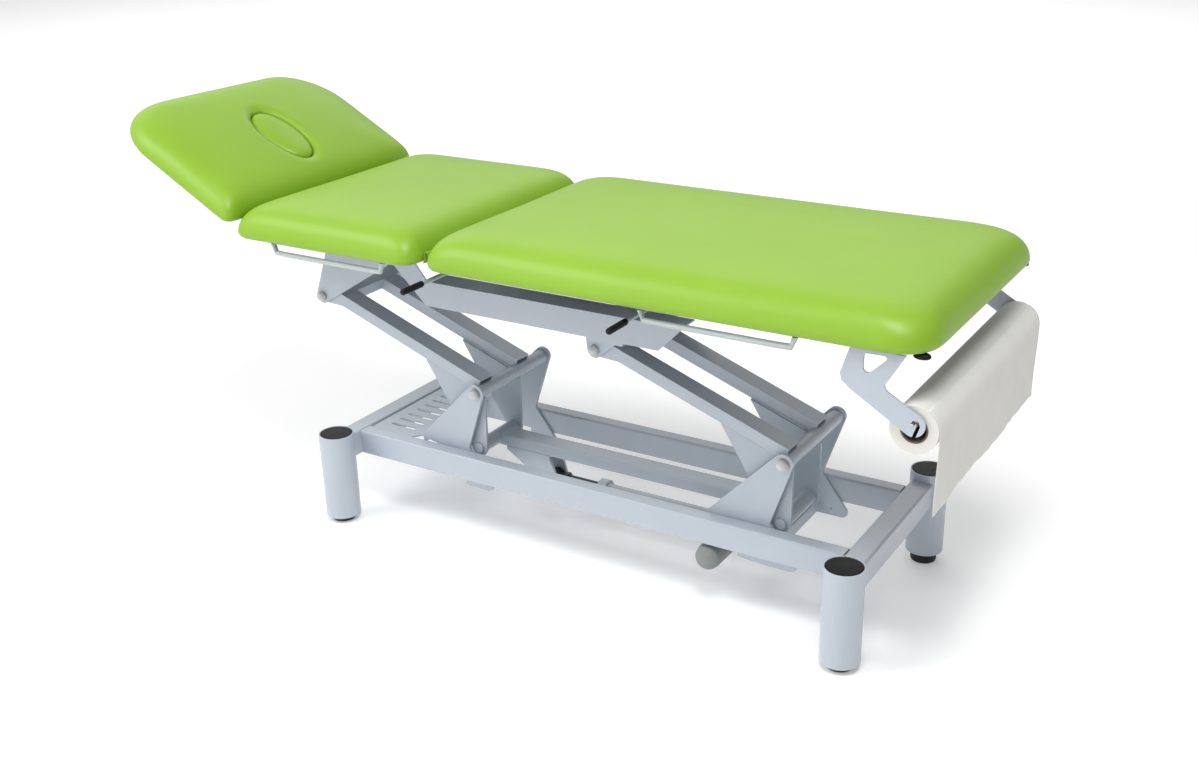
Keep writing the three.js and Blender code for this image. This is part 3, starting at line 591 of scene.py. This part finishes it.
# ------------------------------------------------------------------ domed caps over the pivot bolts
def bolt_cap(tag, x, z, face, sign, r, body):
    prof = [(0.0, r * 0.98), (0.5, r), (3.6, r), (6.2, r * 0.93), (8.6, r * 0.78), (10.6, r * 0.55), (11.8, r * 0.30), (12.2, r * 0.10)]
    V, F, seg = [], [], 36
    for h, rr in prof:
        for i in range(seg):
            a = 2 * math.pi * i / seg
            V.append((x + rr * math.cos(a), sign * (face + h), z + rr * math.sin(a)))
    for k in range(len(prof) - 1):
        for i in range(seg):
            j = (i + 1) % seg
            q = (k * seg + i, (k + 1) * seg + i, (k + 1) * seg + j, k * seg + j)
            F.append(q if sign < 0 else q[::-1])
    a0, a1 = tuple(range(seg)), tuple(range((len(prof) - 1) * seg, len(prof) * seg))
    F.append(a0 if sign < 0 else a0[::-1]); F.append(a1[::-1] if sign < 0 else a1)
    o = obj_from("bolt_cap_" + tag, [W(*v) for v in V], F, BOLT_CAP)
    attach(o, body)


for sg, sd in ((-1, "near"), (1, "far")):
    bolt_cap("lower_head_" + sd, -278.7, 326.3, 133.1, sg, 11.5, "base")
    bolt_cap("lower_foot_" + sd, 427.2, 326.3, 133.1, sg, 11.5, "base")
    bolt_cap("upper_head_" + sd, -690.4, 476.4, 124.9, sg, 10.5, "upper_frame")
    bolt_cap("upper_foot_" + sd, 15.5, 476.4, 124.9, sg, 10.5, "upper_frame")

# soft pedal sleeve with a rounded end
ps = lathe_y("pedal_sleeve_soft", 285, 104, [(-172.5, 5), (-172, 10), (-170, 15.5), (-166.5, 20), (-161.5, 23.6), (-155, 25.7), (-148, 26.3), (-120, 26.1), (-90, 26.3), (-70, 26), (-66, 25.2), (-64.4, 23.2), (-64, 19)], GREY_RUBBER, 44)
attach(ps, "pedal"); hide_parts("pedal_sleeve")

# ------------------------------------------------------------------ rubber buffers under the long pad's end corners
def buffer(tag, y):
    prof = [(0, 6.0), (0.6, 8.2), (2.0, 9.4), (5.4, 9.8), (7.2, 9.2), (8.6, 7.4), (8.9, 4.0)]
    V, F, seg = [], [], 28
    for h, r in prof:
        for i in range(seg):
            a = 2 * math.pi * i / seg
            V.append((722 + r * 1.5 * math.cos(a), y + r * math.sin(a), 650.2 - h))
    for k in range(len(prof) - 1):
        for i in range(seg):
            j = (i + 1) % seg
            F.append((k * seg + i, (k + 1) * seg + i, (k + 1) * seg + j, k * seg + j))
    F.append(tuple(range(seg))); F.append(tuple(reversed(range((len(prof) - 1) * seg, len(prof) * seg))))
    o = obj_from("pad_buffer_" + tag, [W(*v) for v in V], F, BLACK)
    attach(o, "long_section")


buffer("near", -276)
buffer("far", 276)

# ------------------------------------------------------------------ floor and light
bpy.ops.mesh.primitive_plane_add(size=60, location=(0, 0, -0.0005))
floor = bpy.context.object
floor.name = "floor"
fm = bpy.data.materials.new("floor")
fm.use_nodes = True
fb = fm.node_tree.nodes["Principled BSDF"]
fn = fm.node_tree.nodes.new("ShaderNodeTexNoise"); fn.inputs["Scale"].default_value = 2
fr_ = fm.node_tree.nodes.new("ShaderNodeMapRange"); fr_.inputs["To Min"].default_value = 0.75; fr_.inputs["To Max"].default_value = 0.85
fm.node_tree.links.new(fn.outputs["Fac"], fr_.inputs["Value"])
fm.node_tree.links.new(fr_.outputs["Result"], fb.inputs["Roughness"])
fb.inputs["Base Color"].default_value = (0.93, 0.93, 0.93, 1)
fb.inputs["Emission Color"].default_value = (1, 1, 1, 1)
fb.inputs["Emission Strength"].default_value = 0.22
fb.inputs["Specular IOR Level"].default_value = 0.15
floor.data.materials.append(fm)

world = bpy.data.worlds.new("World")
scene.world = world
world.use_nodes = True
bg = world.node_tree.nodes["Background"]
wt, wn = world.node_tree, world.node_tree.nodes
wc, ws, wm = wn.new("ShaderNodeTexCoord"), wn.new("ShaderNodeSeparateXYZ"), wn.new("ShaderNodeMapRange")
wm.inputs["From Min"].default_value, wm.inputs["From Max"].default_value = -1, 1
wm.inputs["To Min"].default_value, wm.inputs["To Max"].default_value = 0.70, 0.20
wt.links.new(wc.outputs["Generated"], ws.inputs["Vector"])
wt.links.new(ws.outputs["X"], wm.inputs["Value"])
wt.links.new(wm.outputs["Result"], bg.inputs["Strength"])
bg.inputs["Color"].default_value = (1, 1, 1, 1)


def area(name, loc, target, size, power):
    d = bpy.data.lights.new(name, "AREA")
    d.shape = "RECTANGLE"; d.size, d.size_y = size
    d.energy = power
    o = bpy.data.objects.new(name, d)
    scene.collection.objects.link(o)
    o.location = loc
    o.rotation_euler = (Vector(target) - Vector(loc)).to_track_quat("-Z", "Y").to_euler()
    return o


area("main", (1.2, -1.3, 3.7), (0, 0, 0.3), (1.4, 1.4), 80)
area("key", (-1.9, -2.0, 2.9), (0, 0, 0.5), (2.0, 1.6), 50)
area("front", (-1.6, -3.6, 1.6), (0, 0, 0.4), (2.4, 1.4), 10)
area("backdrop", (-3.6, 5.6, 4.2), (-4.0, 6.4, 0), (9.0, 6.0), 230)
try:
    scene.view_settings.view_transform = "Standard"
    scene.view_settings.look = "None"
except Exception:
    pass
